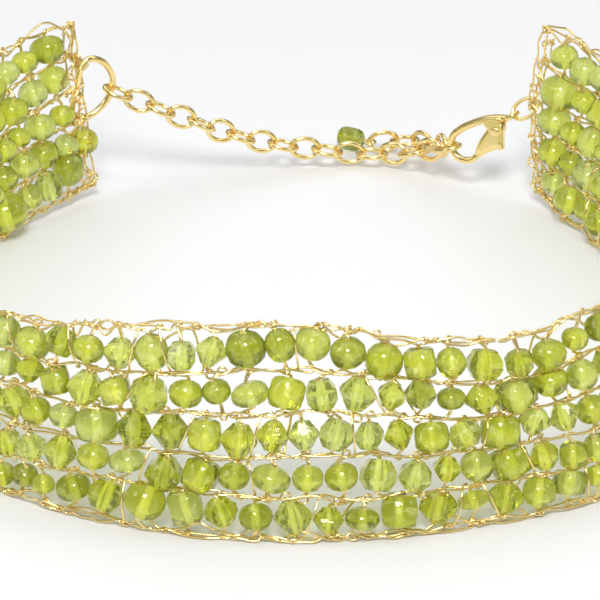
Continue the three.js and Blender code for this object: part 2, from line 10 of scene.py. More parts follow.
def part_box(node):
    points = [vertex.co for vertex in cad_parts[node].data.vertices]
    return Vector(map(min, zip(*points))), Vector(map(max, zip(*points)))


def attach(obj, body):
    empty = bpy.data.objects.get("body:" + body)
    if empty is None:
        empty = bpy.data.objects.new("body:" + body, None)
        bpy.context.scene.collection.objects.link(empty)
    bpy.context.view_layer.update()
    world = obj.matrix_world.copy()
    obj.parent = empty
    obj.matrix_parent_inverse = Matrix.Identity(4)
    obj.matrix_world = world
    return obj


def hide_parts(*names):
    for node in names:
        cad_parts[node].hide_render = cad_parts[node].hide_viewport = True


# Beaded choker: glass beads in a crocheted wire band, with a chain and lobster clasp.
# Sizes are in millimetres until a mesh is made; mm turns them into metres.
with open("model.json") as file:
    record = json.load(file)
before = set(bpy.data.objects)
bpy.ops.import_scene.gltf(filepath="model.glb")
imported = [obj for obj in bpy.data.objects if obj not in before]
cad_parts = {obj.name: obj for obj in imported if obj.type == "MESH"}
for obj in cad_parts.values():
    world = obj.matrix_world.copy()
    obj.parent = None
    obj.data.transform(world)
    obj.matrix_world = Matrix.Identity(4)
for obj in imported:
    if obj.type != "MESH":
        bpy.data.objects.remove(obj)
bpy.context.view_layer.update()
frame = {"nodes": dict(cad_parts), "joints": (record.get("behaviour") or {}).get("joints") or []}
mm = 0.001


# One node tree. add() makes any node: settings first, then the values or links of its sockets.
class Nodes:
    def __init__(self, tree):
        self.tree = tree
        tree.nodes.clear()

    def add(self, kind, sockets=None, out=0, stops=None, **settings):
        node = self.tree.nodes.new(kind)
        for name, value in settings.items():
            setattr(node, name, value)
        if stops:
            ramp = node.color_ramp
            while len(ramp.elements) < len(stops):
                ramp.elements.new(0.5)
            for element, (place, shade) in zip(ramp.elements, stops):
                element.position = place
                element.color = (*shade, 1)
        for key, value in (sockets or {}).items():
            if isinstance(value, Value):
                self.tree.links.new(value.socket, node.inputs[key])
            else:
                node.inputs[key].default_value = value
        return Value(self, node.outputs[out]) if node.outputs else node

    def mixColours(self, factor, first, second):
        return self.add("ShaderNodeMix", {0: factor, 6: first, 7: second}, out=2, data_type="RGBA")

    def noise(self, place, scale, **sockets):
        return self.add("ShaderNodeTexNoise", {"Vector": place, "Scale": scale, **sockets})

    def bump(self, strength, distance, height):
        return self.add("ShaderNodeBump", {"Strength": strength, "Distance": distance, "Height": height})


# An output socket that can be used in sums.
class Value:
    def __init__(self, nodes, socket):
        self.nodes = nodes
        self.socket = socket

    def out(self, name):
        return Value(self.nodes, self.socket.node.outputs[name])

    def maths(self, operation, other):
        return self.nodes.add("ShaderNodeMath", {0: self, 1: other}, operation=operation)

    def __add__(self, other):
        return self.maths("ADD", other)

    def __sub__(self, other):
        return self.maths("SUBTRACT", other)

    def __mul__(self, other):
        return self.maths("MULTIPLY", other)

    def __truediv__(self, other):
        return self.maths("DIVIDE", other)


def colour(red, green, blue):
    return (red, green, blue, 1)


def newMaterial(name):
    material = bpy.data.materials.new(name)
    material.use_nodes = True
    return material, Nodes(material.node_tree)


# materials

# Tints run from deep to pale, milk is in the clouds, the flecks and the bore wall. The bore wall and the
# flecks also glow with painted light, in place of studio light scattered in the bore.
glassLook = {
    "deep": (0.40, 0.45, 0.006), "leaf": (0.61, 0.65, 0.012), "lime": (0.75, 0.78, 0.08),
    "pale": (0.71, 0.78, 0.38), "milk": (0.88, 0.90, 0.54),
    "tintPlaces": (0.0, 0.22, 0.6, 0.95),
    "cloud": 0.3, "cloudsPerMetre": 500,
    "flecks": 0.45, "flecksPerMetre": 900, "fleckEdge": (0.52, 0.66), "fleckBend": 0.8,
    "ripple": 0.5, "rippleDepth": 0.00012,
    "roughness": 0.025, "refraction": 1.5, "clearness": 0.94, "alpha": 0.97,
    "boreRoughness": 0.6, "boreClearness": 0.3, "borePaintedGlow": 0.42, "boreAlpha": 1.1, "boreMilk": 0.6,
    "depthColour": (0.82, 0.85, 0.02), "depthPerMetre": 260,
}


def beadGlass(look):
    material, nodes = newMaterial("beadGlass")
    milk = colour(*look["milk"])
    place = nodes.add("ShaderNodeTexCoord", out="Object")
    tint = nodes.add("ShaderNodeAttribute", out="Fac", attribute_name="tint")
    stops = list(zip(look["tintPlaces"], [look[name] for name in ("deep", "leaf", "lime", "pale")]))
    body = nodes.add("ShaderNodeValToRGB", {"Fac": tint}, stops=stops)
    core = nodes.add("ShaderNodeAttribute", out="Fac", attribute_name="core")
    cloud = nodes.noise(place, look["cloudsPerMetre"], Detail=3.0)
    cloudy = nodes.mixColours(cloud * look["cloud"], body, milk)
    ripple = nodes.noise(place, look["flecksPerMetre"])
    bump = nodes.bump(look["ripple"], look["rippleDepth"], ripple)
    clear = nodes.add("ShaderNodeBsdfPrincipled", {
        "Base Color": cloudy,
        "Roughness": look["roughness"],
        "IOR": look["refraction"],
        "Transmission Weight": look["clearness"],
        "Alpha": look["alpha"],
        "Normal": bump,
    })
    boreColourAndPaintedGlow = nodes.mixColours(look["boreMilk"], body, milk)
    bore = nodes.add("ShaderNodeBsdfPrincipled", {
        "Base Color": boreColourAndPaintedGlow,
        "Roughness": look["boreRoughness"],
        "Transmission Weight": look["boreClearness"],
        # painted light: the bore wall and the flecks glow in their milky colour, standing in for studio light
        # scattered inside the bead
        "Emission Color": boreColourAndPaintedGlow,
        "Emission Strength": look["borePaintedGlow"],
        "Alpha": cloud * look["boreAlpha"],
    })
    grain = nodes.noise(place, look["flecksPerMetre"], Detail=4.0, Distortion=look["fleckBend"])
    edges = list(zip(look["fleckEdge"], ((0, 0, 0), (1, 1, 1))))
    fleck = nodes.add("ShaderNodeValToRGB", {"Fac": grain}, stops=edges)
    milky = core.maths("MAXIMUM", fleck * look["flecks"])
    whole = nodes.add("ShaderNodeMixShader", {0: milky, 1: clear, 2: bore})
    depth = nodes.add("ShaderNodeVolumeAbsorption", {
        "Color": colour(*look["depthColour"]), "Density": look["depthPerMetre"],
    })
    nodes.add("ShaderNodeOutputMaterial", {"Surface": whole, "Volume": depth})
    return material


goldLook = {"patchesPerMetre": 260, "roughness": 0.22, "roughSpread": 0.2, "scratches": 0.2}
wireLook = {
    **goldLook, "bright": (1.0, 0.86, 0.50), "dark": (0.90, 0.66, 0.20),
    "scratchesPerMetre": 2600, "scratchDepth": 0.00002,
}
chainLook = {
    **goldLook, "bright": (1.0, 0.85, 0.44), "dark": (0.98, 0.72, 0.27),
    "scratchesPerMetre": 4200, "scratchDepth": 0.000007,
}


def goldMetal(name, look):
    material, nodes = newMaterial(name)
    place = nodes.add("ShaderNodeTexCoord", out="Object")
    patches = nodes.noise(place, look["patchesPerMetre"], Detail=2.0)
    shade = nodes.mixColours(patches, colour(*look["dark"]), colour(*look["bright"]))
    scratches = nodes.noise(place, look["scratchesPerMetre"], Detail=4.0)
    bump = nodes.bump(look["scratches"], look["scratchDepth"], scratches)
    shader = nodes.add("ShaderNodeBsdfPrincipled", {
        "Base Color": shade,
        "Metallic": 1.0,
        "Roughness": scratches * look["roughSpread"] + (look["roughness"] - look["roughSpread"] / 2),
        "Normal": bump,
    })
    nodes.add("ShaderNodeOutputMaterial", {"Surface": shader})
    return material


glass = beadGlass(glassLook)
wireGold = goldMetal("wireGold", wireLook)
chainGold = goldMetal("chainGold", chainLook)
print("materials made")


# the wall of the band

band = {
    "halfWidth": 60, "halfDepth": 54.5, "centreX": -0.3, "centreY": -6.05,
    "leftEnd": -150.5, "rightEnd": 148, "endHeight": 27, "midUp": 14,
    "endStrandGap": 2.1, "endStrandRadius": 0.3, "endClearance": 0.35,
    "rightEndBow": 2.4, "bowMiddle": 0.55, "angleStep": 0.25,
}
# angle round the loop, inward lean, height, lift of the foot, outward flare
sections = np.array([
    (-152, -10, 27, 1.8, 1.6), (-134, -8, 27.2, 0.4, -2.2), (-118, -4, 27.4, 0, -4),
    (-85, 2, 27, 0, -3.4), (-58, 6, 26, 0, -1.4), (-41, 9, 25.5, 0, 0), (-19, 12, 28.4, 0, 0),
    (0, 13, 29.8, 0, 0), (12, 12, 27.8, 0, 0), (26, 10, 25.8, 0, 0.4), (42, 8, 27.6, 0, 2),
    (62, 2, 27.5, 0, -1), (88, -6, 27.5, 0, -5.6), (118, -12, 28, 0, -6.6),
    (136, -8, 28, 0.3, -2.4), (150, -2, 26.6, 2, 4),
])


def columnAt(column, angle):
    angles = sections[:, 0]
    values = sections[:, column]
    last = len(angles) - 1
    i = int(np.clip(np.searchsorted(angles, angle) - 1, 0, last - 1))

    def slope(k):
        before, after = max(k - 1, 0), min(k + 1, last)
        return (values[after] - values[before]) / (angles[after] - angles[before])

    span = angles[i + 1] - angles[i]
    t = (angle - angles[i]) / span
    ends = (1 + 2 * t) * (1 - t) ** 2 * values[i] + t * t * (3 - 2 * t) * values[i + 1]
    return ends + span * (t * (1 - t) ** 2 * slope(i) - t * t * (1 - t) * slope(i + 1))


def unit(vector):
    return vector / np.linalg.norm(vector)


def footPoint(angle):
    a = math.radians(angle)
    level = unit(np.array([band["halfDepth"] * math.sin(a), -band["halfWidth"] * math.cos(a), 0]))
    point = np.array([band["halfWidth"] * math.sin(a), -band["halfDepth"] * math.cos(a), 0])
    return point + level * columnAt(4, angle) + np.array([band["centreX"], band["centreY"], 0])


# One line of the wall table: foot, along, rise, out, height.
def wallLine(angle):
    along = unit(footPoint(angle + 0.5) - footPoint(angle - 0.5))
    level = np.cross(along, (0, 0, 1))
    lean = math.radians(columnAt(1, angle))
    rise = np.array([0, 0, math.cos(lean)]) - level * math.sin(lean)
    foot = footPoint(angle)
    foot[2] = max(columnAt(3, angle), 0)
    return np.concatenate([foot, along, rise, np.cross(along, rise), [columnAt(2, angle)]])


wallAngles = np.arange(band["leftEnd"], band["rightEnd"] + 1e-6, band["angleStep"])
wallTable = np.array([wallLine(a) for a in wallAngles])
midLine = wallTable[:, 0:3] + wallTable[:, 6:9] * band["midUp"]
midSteps = np.linalg.norm(np.diff(midLine, axis=0), axis=1)
wallLengths = np.concatenate([[0], np.cumsum(midSteps)])
bandLength = wallLengths[-1]
frontLength = wallLengths[np.searchsorted(wallAngles, 0)]


# Everything on the band is placed by its length along, its height up and a step outwards.
def wallAt(length):
    line = np.array([np.interp(length, wallLengths, wallTable[:, k]) for k in range(13)])
    overrun = length - np.clip(length, 0, bandLength)
    foot = line[0:3] + line[3:6] * overrun
    return {"foot": foot, "along": line[3:6], "rise": line[6:9], "out": line[9:12], "height": line[12]}


def onBand(length, up, out=0.0):
    wall = wallAt(length)
    return wall["foot"] + wall["rise"] * up + wall["out"] * out


# A fixed chance from 0 to 1 for a bead, a row or seed, and what it is drawn for.
def chance(bead, row, salt):
    wave = math.sin(bead * 12.9898 + row * 78.233 + salt * 37.719) * 43758.5453
    return wave - math.floor(wave)


def spread(amount, bead, row, salt):
    return amount * (chance(bead, row, salt) * 2 - 1)


# The right end bows inwards at its top and foot.
def rightSetback(share):
    return band["rightEndBow"] * ((share - band["bowMiddle"]) / 0.5) ** 2


# beads

rows = {
    "share": (0.13, 0.305, 0.49, 0.685, 0.868),
    "shift": (-0.6, -0.3, -0.4, -1.9, 1.8),
    "front": ("sssofVcfobbrcfrfvco", "ffborbcoroofbbvcbyv", "fooYbbybbbffbyfBbbo",
              "obcbcfooryfbbbobcov", "ofobvfbLvooVcvffooo"),
    "frontSpan": 84.5, "fillPitch": 4.42, "sizeSpread": 0.17, "wobble": 0.25,
    "wave": 0.7, "longWave": 8.5, "shortWave": 4.1,
    "sideKinds": "ooobbffvycro", "napeKinds": "ooovoobofoLo", "napeBeads": 7,
}
# two beads at the foot of the left end: one out at the corner, one large and dark
cornerBead = {"row": 1, "form": "round", "width": 4.1, "half": 1.9, "length": 1.3, "up": 8.0}
darkBead = {"row": 0, "width": 4.7, "half": 2.7, "raised": 0.9}
# letter: form, width along the row, height along its hole
beadKinds = {
    "o": ("round", 4.2, 3.7), "v": ("round", 3.9, 4.4), "s": ("round", 3.2, 3.0),
    "r": ("round", 4.3, 2.9), "L": ("round", 5.7, 5.2), "V": ("round", 5.1, 5.0),
    "y": ("drum", 4.3, 4.0), "Y": ("drum", 5.2, 4.0), "B": ("drum", 5.8, 5.0),
    "b": ("bicone", 4.3, 4.1), "f": ("faceted", 4.4, 3.9), "c": ("cube", 4.3, 3.8),
}
beadPlay = {
    "tilt": 20, "stepOut": 0.4, "upDown": 0.4, "holeRadius": 0.17, "snug": 1.02,
    "spin": 0.5, "seed": 11, "unevenness": 0.24, "unevenPerMm": 0.32,
}


# A row rises and falls a little along the band.
def rowWave(row, length):
    slow = math.sin(length / rows["longWave"] + row * 0.9)
    quick = math.sin(length / rows["shortWave"] - row * 1.7)
    return rows["wave"] * (slow + 0.6 * quick) / 1.6


# The beads of a row, from the left end round the front to the right end.
def layRow(row):
    share, shift = rows["share"][row], rows["shift"][row]
    inset = band["endStrandGap"] + band["endClearance"] + band["endStrandRadius"] * 2
    sideLeft = frontLength + shift - rows["frontSpan"] / 2 - inset
    sideRight = bandLength - frontLength - shift - rows["frontSpan"] / 2 - inset - rightSetback(share)
    countLeft = int(sideLeft / rows["fillPitch"] + 0.5)
    countRight = int(sideRight / rows["fillPitch"] + 0.5)

    def pick(i, nape):
        kinds = rows["napeKinds"] if nape else rows["sideKinds"]
        return kinds[int(chance(i, row, 1) * len(kinds))]

    left = [pick(i, i < rows["napeBeads"]) for i in range(countLeft)]
    right = [pick(i + 100, i >= countRight - rows["napeBeads"]) for i in range(countRight)]
    beads = []
    reached = inset
    if row == cornerBead["row"]:
        beads.append({"i": 0, **cornerBead})
    for stretch, length in ((left, sideLeft), (rows["front"][row], rows["frontSpan"]), (right, sideRight)):
        growth = [1 + spread(rows["sizeSpread"], len(beads) + k, row, 5) for k in range(len(stretch))]
        total = sum(beadKinds[letter][1] * growth[k] for k, letter in enumerate(stretch))
        for k, letter in enumerate(stretch):
            form, width, height = beadKinds[letter]
            span = width * growth[k] * length / total
            wall = wallAt(reached + span / 2)
            i = len(beads)
            scale = min(max(wall["height"] / 28, 0.92), 1.03) * growth[k]
            beads.append({
                "row": row, "i": i, "form": form, "width": span, "half": height * scale / 2,
                "length": reached + span / 2,
                "up": share * wall["height"] + rowWave(row, reached + span / 2)
                + spread(rows["wobble"], i, row, 2),
            })
            reached += span
    if row == darkBead["row"]:
        beads[0].update({
            "form": "round", "tint": 0.0, "width": darkBead["width"], "half": darkBead["half"],
            "up": beads[0]["up"] + darkBead["raised"],
        })
    return beads


allRows = [layRow(row) for row in range(5)]


def addObject(name, data, material=None):
    thing = bpy.data.objects.new(name, data)
    bpy.context.scene.collection.objects.link(thing)
    if material:
        data.materials.clear()
        data.materials.append(material)
    return thing


def plainMesh(name, points, faces=()):
    mesh = bpy.data.meshes.new(name)
    mesh.from_pydata([tuple(point) for point in points], [], faces)
    return mesh


# The mesh that an object's modifiers make, in place of the object.
def settledMesh(name, source):
    bpy.context.view_layer.update()
    depsgraph = bpy.context.evaluated_depsgraph_get()
    mesh = bpy.data.meshes.new_from_object(source.evaluated_get(depsgraph))
    bpy.data.objects.remove(source)
    mesh.name = name
    return mesh


def turnOf(axes):
    return Matrix([list(axis) for axis in axes]).transposed()


# A drilled bead turned from its profile of (radius, height), from the top of its bore to the foot.
def turnedBead(name, profile, sides, smooth, squareness=0.0):
    points = []
    for radius, height in profile:
        for k in range(sides):
            angle = (k + 0.5) / sides * math.tau
            reach = radius
            if squareness and radius > beadPlay["holeRadius"]:
                reach *= 1 + squareness * (1 / max(abs(math.cos(angle)), abs(math.sin(angle))) - 1)
            points.append((reach * math.cos(angle), reach * math.sin(angle), height))
    faces = []
    for j in range(len(profile)):
        low = (j + 1) % len(profile)
        for k in range(sides):
            nextK = (k + 1) % sides
            faces.append((j * sides + k, low * sides + k, low * sides + nextK, j * sides + nextK))
    mesh = plainMesh(name, points, faces)
    if smooth:
        mesh.shade_smooth()
    mesh.attributes.new("core", "FLOAT", "FACE")
    for index in range(len(faces) - sides, len(faces)):
        mesh.attributes["core"].data[index].value = 1.0
    return addObject(name, mesh)


# Half an outline from pole to pole: a lower power makes it fuller.
def roundProfile(power, count=9):
    profile = []
    for j in range(count):
        angle = math.pi / 2 - math.pi * j / (count - 1)
        radius = max(math.cos(angle), 0.0) ** power
        height = math.copysign(abs(math.sin(angle)) ** power, math.sin(angle))
        profile.append((max(radius, beadPlay["holeRadius"]), height))
    return profile


hole = beadPlay["holeRadius"]
beadForms = {
    "round": turnedBead("formRound", roundProfile(0.9), 14, True),
    "drum": turnedBead("formDrum", roundProfile(0.5), 14, True),
    "bicone": turnedBead("formBicone", [
        (hole, 1), (0.45, 0.97), (0.97, 0.22), (1.04, 0), (0.97, -0.22), (0.45, -0.97), (hole, -1),
    ], 6, False),
    "faceted": turnedBead("formFaceted", [
        (hole, 1), (0.62, 0.93), (0.98, 0.3), (0.98, -0.3), (0.62, -0.93), (hole, -1),
    ], 6, False),
    "cube": turnedBead("formCube", [
        (hole, 0.9), (0.62, 1), (0.84, 0.84), (0.9, 0), (0.84, -0.84), (0.62, -1), (hole, -0.9),
    ], 12, True, 0.55),
}


# Points that carry a turn, a size and a tint each, for a form to be put on.
def placePoints(name, places):
    mesh = plainMesh(name, [place["centre"] * mm for place in places])
    for attribute, kind in (("turn", "FLOAT_VECTOR"), ("size", "FLOAT_VECTOR"), ("tint", "FLOAT")):
        mesh.attributes.new(attribute, kind, "POINT")
    turn, size, tint = [mesh.attributes[attribute] for attribute in ("turn", "size", "tint")]
    for i, place in enumerate(places):
        turn.data[i].vector = turnOf(place["axes"]).to_euler()
        size.data[i].vector = [length * mm for length in place["size"]]
        tint.data[i].value = place.get("tint", 0.5)
    return addObject(name, mesh)


# A geometry tree, its nodes and its group input.
def newTree(name, inputs):
    tree = bpy.data.node_groups.new(name, "GeometryNodeTree")
    tree.interface.new_socket("Geometry", in_out="INPUT", socket_type="NodeSocketGeometry")
    for socketName, kind in inputs:
        tree.interface.new_socket(socketName, in_out="INPUT", socket_type="NodeSocket" + kind)
    tree.interface.new_socket("Geometry", in_out="OUTPUT", socket_type="NodeSocketGeometry")
    nodes = Nodes(tree)
    return tree, nodes, nodes.add("NodeGroupInput")


def finishTree(nodes, given, shape):
    real = nodes.add("GeometryNodeRealizeInstances", {"Geometry": shape})
    shown = nodes.add("GeometryNodeSetMaterial", {"Geometry": real, "Material": given.out("Material")})
    nodes.add("NodeGroupOutput", {"Geometry": shown})


# A soft random push in every direction, up to the given amount.
def wander(nodes, perMetre, seed, amount):
    place = nodes.add("GeometryNodeInputPosition")
    cloud = nodes.add("ShaderNodeTexNoise", {
        "Vector": place, "W": seed, "Scale": perMetre, "Detail": 1.0,
    }, out="Color", noise_dimensions="4D")
    centred = nodes.add("ShaderNodeVectorMath", {0: cloud, 1: (0.5, 0.5, 0.5)}, operation="SUBTRACT")
    return nodes.add("ShaderNodeVectorMath", {0: centred, "Scale": amount * 2}, operation="SCALE")


# Runs a tree on an object and gives back the plain mesh that it makes.
def growMesh(name, source, tree, values):
    modifier = source.modifiers.new(tree.name, "NODES")
    modifier.node_group = tree
    for item in tree.interface.items_tree:
        if item.in_out == "INPUT" and item.name in values:
            modifier[item.identifier] = values[item.name]
    mesh = settledMesh(name, source)
    mesh.polygons.foreach_set("material_index", [0] * len(mesh.polygons))
    return addObject(name, mesh, values["Material"])


def pointTurn(nodes):
    turn = nodes.add("GeometryNodeInputNamedAttribute", {"Name": "turn"}, data_type="FLOAT_VECTOR")
    return nodes.add("FunctionNodeEulerToRotation", {"Euler": turn})


def setOnPointsTree():
    tree, nodes, given = newTree("setOnPoints", [
        ("Form", "Object"), ("Spin", "Float"), ("Seed", "Int"),
        ("Unevenness", "Float"), ("Uneven per metre", "Float"), ("Material", "Material"),
    ])
    form = nodes.add("GeometryNodeObjectInfo", {"Object": given.out("Form")}, out="Geometry")
    size = nodes.add("GeometryNodeInputNamedAttribute", {"Name": "size"}, data_type="FLOAT_VECTOR")
    spin = nodes.add("FunctionNodeRandomValue", {
        2: given.out("Spin") * -1, 3: given.out("Spin"), "Seed": given.out("Seed"),
    }, out=1, data_type="FLOAT")
    spun = nodes.add("FunctionNodeAxisAngleToRotation", {"Axis": (0, 0, 1), "Angle": spin})
    turned = nodes.add("FunctionNodeRotateRotation", {"Rotation": pointTurn(nodes), "Rotate By": spun},
                       rotation_space="LOCAL")
    placed = nodes.add("GeometryNodeInstanceOnPoints", {
        "Points": given.out("Geometry"), "Instance": form, "Rotation": turned, "Scale": size,
    })
    real = nodes.add("GeometryNodeRealizeInstances", {"Geometry": placed})
    swell = wander(nodes, given.out("Uneven per metre"), given.out("Seed"), given.out("Unevenness"))
    uneven = nodes.add("GeometryNodeSetPosition", {"Geometry": real, "Offset": swell})
    finishTree(nodes, given, uneven)
    return tree


setOnPoints = setOnPointsTree()


# Beads of one form, each at its own place.
def growBeads(name, form, places, play, seed):
    return growMesh(name, placePoints(name + "_places", places), setOnPoints, {
        "Form": beadForms[form], "Spin": play["spin"], "Seed": seed, "Material": glass,
        "Unevenness": play["unevenness"] * mm, "Uneven per metre": play["unevenPerMm"] / mm,
    })


def joinMeshes(name, things):
    whole = bmesh.new()
    material = things[0].data.materials[0]
    for thing in things:
        whole.from_mesh(thing.data)
    mesh = bpy.data.meshes.new(name)
    whole.to_mesh(mesh)
    whole.free()
    for thing in things:
        bpy.data.objects.remove(thing)
    return addObject(name, mesh, material)


def beadPlace(bead):
    wall = wallAt(bead["length"])
    row, i = bead["row"], bead["i"]
    lean = spread(math.radians(beadPlay["tilt"]), i, row, 3)
    tip = spread(math.radians(beadPlay["tilt"]), i, row, 4)
    rise = unit(wall["rise"] + wall["along"] * math.tan(lean) + wall["out"] * math.tan(tip))
    along = unit(np.cross(wall["out"], rise))
    along = along if along @ wall["along"] > 0 else -along
    out = np.cross(along, rise)
    bead["stepOut"] = spread(beadPlay["stepOut"], i, row, 6)
    bead["up"] += spread(beadPlay["upDown"], i, row, 9)
    bead["rise"] = rise
    radius = bead["width"] / 2 * beadPlay["snug"]
    return {
        "centre": onBand(bead["length"], bead["up"], bead["stepOut"]),
        "axes": (along, -out, rise),
        "size": (radius, radius, bead["half"]),
        "tint": bead.get("tint", chance(i, row, 7)),
    }


for row, beads in enumerate(allRows):
    grown = []
    for form in beadForms:
        places = [beadPlace(bead) for bead in beads if bead["form"] == form]
        if places:
            grown.append(growBeads(f"{form}_{row}", form, places, beadPlay, beadPlay["seed"] + row))
    piece = joinMeshes(f"glass_row_{row + 1}", grown)
    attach(piece, "choker")
    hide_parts(f"bead_row_{row + 1}")
print("beads set")


# crocheted wire

wire = {"radius": 0.162, "sides": 6, "kink": 0.26, "kinkPerMm": 0.42}
stitch = {
    "depth": 0.5,        # how far the wire shows inside a bead's hole
    "legOut": 0.22, "legGap": 0.16, "legLean": 1.1,
    "apart": 0.9, "after": 0.5, "stray": 0.5, "strayOut": 0.55, "kinkShare": 0.6,
    "loopRadius": 0.42, "loopShare": 0.75, "loopStart": 220, "loopSpread": 90, "loopTurn": 58,
    "aboveSeed": 31, "belowSeed": 41, "kinkSeed": 3,
}
crossing = {"share": 0.18, "outerShare": 0.7, "lean": 1.6, "tail": 0.7, "out": 0.75, "bow": 0.5, "seed": 55}


# Round wire swept along a curve.
def sweepWire(nodes, given, curve, radius, caps):
    section = nodes.add("GeometryNodeCurvePrimitiveCircle", {
        "Resolution": given.out("Sides"), "Radius": given.out(radius),
    })
    swept = nodes.add("GeometryNodeCurveToMesh", {
        "Curve": curve, "Profile Curve": section, "Fill Caps": caps,
    })
    return nodes.add("GeometryNodeSetShadeSmooth", {"Geometry": swept})


def drawnWireTree():
    tree, nodes, given = newTree("drawnWire", [
        ("Radius", "Float"), ("Sides", "Int"), ("Kink", "Float"), ("Kinks per metre", "Float"),
        ("Seed", "Float"), ("Material", "Material"),
    ])
    kinks = wander(nodes, given.out("Kinks per metre"), given.out("Seed"), given.out("Kink"))
    bent = nodes.add("GeometryNodeSetPosition", {"Geometry": given.out("Geometry"), "Offset": kinks})
    finishTree(nodes, given, sweepWire(nodes, given, bent, "Radius", True))
    return tree


drawnWire = drawnWireTree()


def pathCurve(name, paths):
    data = bpy.data.curves.new(name, "CURVE")
    data.dimensions = "3D"
    for path in paths:
        spline = data.splines.new("POLY")
        spline.points.add(len(path) - 1)
        for point, place in zip(spline.points, path):
            point.co = (*(np.asarray(place) * mm), 1)
    return addObject(name, data)


# A smooth path through points, a few steps between each two of them.
def smoothPath(points, steps=3, closed=False):
    points = [np.asarray(point, dtype=float) for point in points]
    count = len(points)
    path = []
    for i in range(count if closed else count - 1):
        a, b, c, d = [points[(i + k) % count] if closed else points[min(max(i + k, 0), count - 1)]
                      for k in (-1, 0, 1, 2)]
        for step in range(steps):
            t = step / steps
            path.append(0.5 * (2 * b + (c - a) * t + (2 * a - 5 * b + 4 * c - d) * t ** 2
                               + (3 * b - a - 3 * c + d) * t ** 3))
    if not closed:
        path.append(points[-1])
    return path


# One piece of drawn wire, kept off the floor by the most that a kink can lower it.
def growWire(name, paths, radius, seed, kink, replaced=()):
    lowest = radius + kink
    paths = [[(x, y, max(z, lowest)) for x, y, z in path] for path in paths]
    curve = pathCurve(name + "_path", paths)
    piece = growMesh(name, curve, drawnWire, {
        "Radius": radius * mm, "Sides": wire["sides"], "Kink": kink * mm,
        "Kinks per metre": wire["kinkPerMm"] / mm, "Seed": float(seed), "Material": wireGold,
    })
    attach(piece, "choker")
    if replaced:
        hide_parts(*replaced)


edge = {
    "knotPitch": 7.0, "knotLength": 2.4, "knotRadius": 0.3, "knotTurns": 0.8, "knotTilt": 0.5,
    "firstKnot": 1.6, "bareShare": 0.65, "bow": 1.2, "sag": 1.9, "corner": 4.2, "setBack": 0.4,
    "underTop": 0.45, "aboveFloor": 0.62, "thickness": 1.05,
    "topKink": 0.1, "lowKink": 0.08, "topSeed": 60, "lowSeed": 70, "topKinkSeed": 21, "lowKinkSeed": 22,
}
# the third strand of a knot is shorter, wider and turned further than the two that run through
thirdStrand = {"turns": 1.6, "radius": 1.25, "reach": 0.55, "cutAt": 1.2}


# The top edge rounds down into the left end.
def topEdgeUp(length):
    inside = max(edge["corner"] - max(length, 0.0), 0.0)
    drop = edge["corner"] - math.sqrt(edge["corner"] ** 2 - inside ** 2)
    return wallAt(length)["height"] - edge["underTop"] - drop


# The height of the line that a row's wire follows above (way 1) or below (way -1) its beads.
def gapUp(row, way, length):
    if way > 0 and row == 4:
        return topEdgeUp(length) - 0.25
    if way < 0 and row == 0:
        return 0.75
    other = row + way
    share = (rows["share"][row] + rows["share"][other]) / 2
    return share * wallAt(length)["height"] + (rowWave(row, length) + rowWave(other, length)) / 2


# A wire that wanders along one side of a row. From an anchor near each bead a pair of legs goes
# into the bead's hole and back, and a small loop closes most anchors.
def stitchWire(row, way, seed):
    beads = allRows[row]
    finish = bandLength - rightSetback(rows["share"][row])

    def onLine(length, out=0.0, stray=0.0):
        return onBand(length, gapUp(row, way, length) + stray, out)

    points = [onLine(0.4), onLine(1.5, 0.2)]
    reached = 2.0
    for i, bead in enumerate(beads):
        length, up, out = bead["length"], bead["up"], bead["stepOut"]

        def vary(salt, amount):
            return spread(amount, i, seed, salt)

        holeEnd = onBand(length, up, out) + bead["rise"] * way * bead["half"]
        inside = holeEnd - bead["rise"] * way * stitch["depth"]
        leg = holeEnd + bead["rise"] * way * stitch["legOut"]
        along = wallAt(length)["along"] * stitch["legGap"] / 2
        anchor = max(length + vary(8, stitch["legLean"]), reached + stitch["apart"])
        line = gapUp(row, way, anchor) + vary(11, stitch["stray"])
        side = vary(12, stitch["strayOut"])
        middle = (reached + anchor) / 2
        points += [onLine(middle, side * 0.5, vary(13, stitch["stray"] * 0.8)),
                   onBand(anchor - 0.3, line, side), leg - along, inside - along, inside + along, leg + along]
        if chance(i, seed, 14) < stitch["loopShare"]:
            radius = stitch["loopRadius"] * (0.6 + 0.9 * chance(i, seed, 16))
            start = stitch["loopStart"] + stitch["loopSpread"] * chance(i, seed, 17)
            for step in range(7):
                turn = math.radians(start + step * stitch["loopTurn"])
                points.append(onBand(anchor + 0.15 + radius * math.cos(turn),
                                     line + way * radius * 0.8 * (math.sin(turn) + 0.5),
                                     side + 0.09 * (step - 3)))
        else:
            points.append(onBand(anchor + 0.3, line + vary(18, 0.2), side))
        reached = anchor + stitch["after"]
    points += [onLine(finish - 1.5, 0.2), onLine(finish - 0.4)]
    return smoothPath(points)


# Short strands that cross a row on its outer or inner face, from one gap to the next.
def crossWires(row, seed):
    paths = []
    beads = allRows[row]
    for i in range(1, len(beads)):
        if chance(i, seed, 50) > crossing["share"]:
            continue
        middle = (beads[i - 1]["length"] + beads[i]["length"]) / 2
        face = 1 if chance(i, seed, 51) > 1 - crossing["outerShare"] else -1
        lean = spread(crossing["lean"], i, seed, 52)
        above, below = middle + lean, middle - lean
        high, low = gapUp(row, 1, above), gapUp(row, -1, below)
        path = [onBand(above + crossing["tail"], high + 0.1), onBand(above, high - 0.1, face * 0.3)]
        for share in (0.25, 0.5, 0.75):
            path.append(onBand(middle + lean * (1 - 2 * share), high + (low - high) * share,
                               face * (crossing["out"] + crossing["bow"] * math.sin(share * math.pi))))
        path += [onBand(below, low + 0.1, face * 0.3), onBand(below - crossing["tail"], low - 0.1)]
        paths.append(smoothPath(path))
    return paths


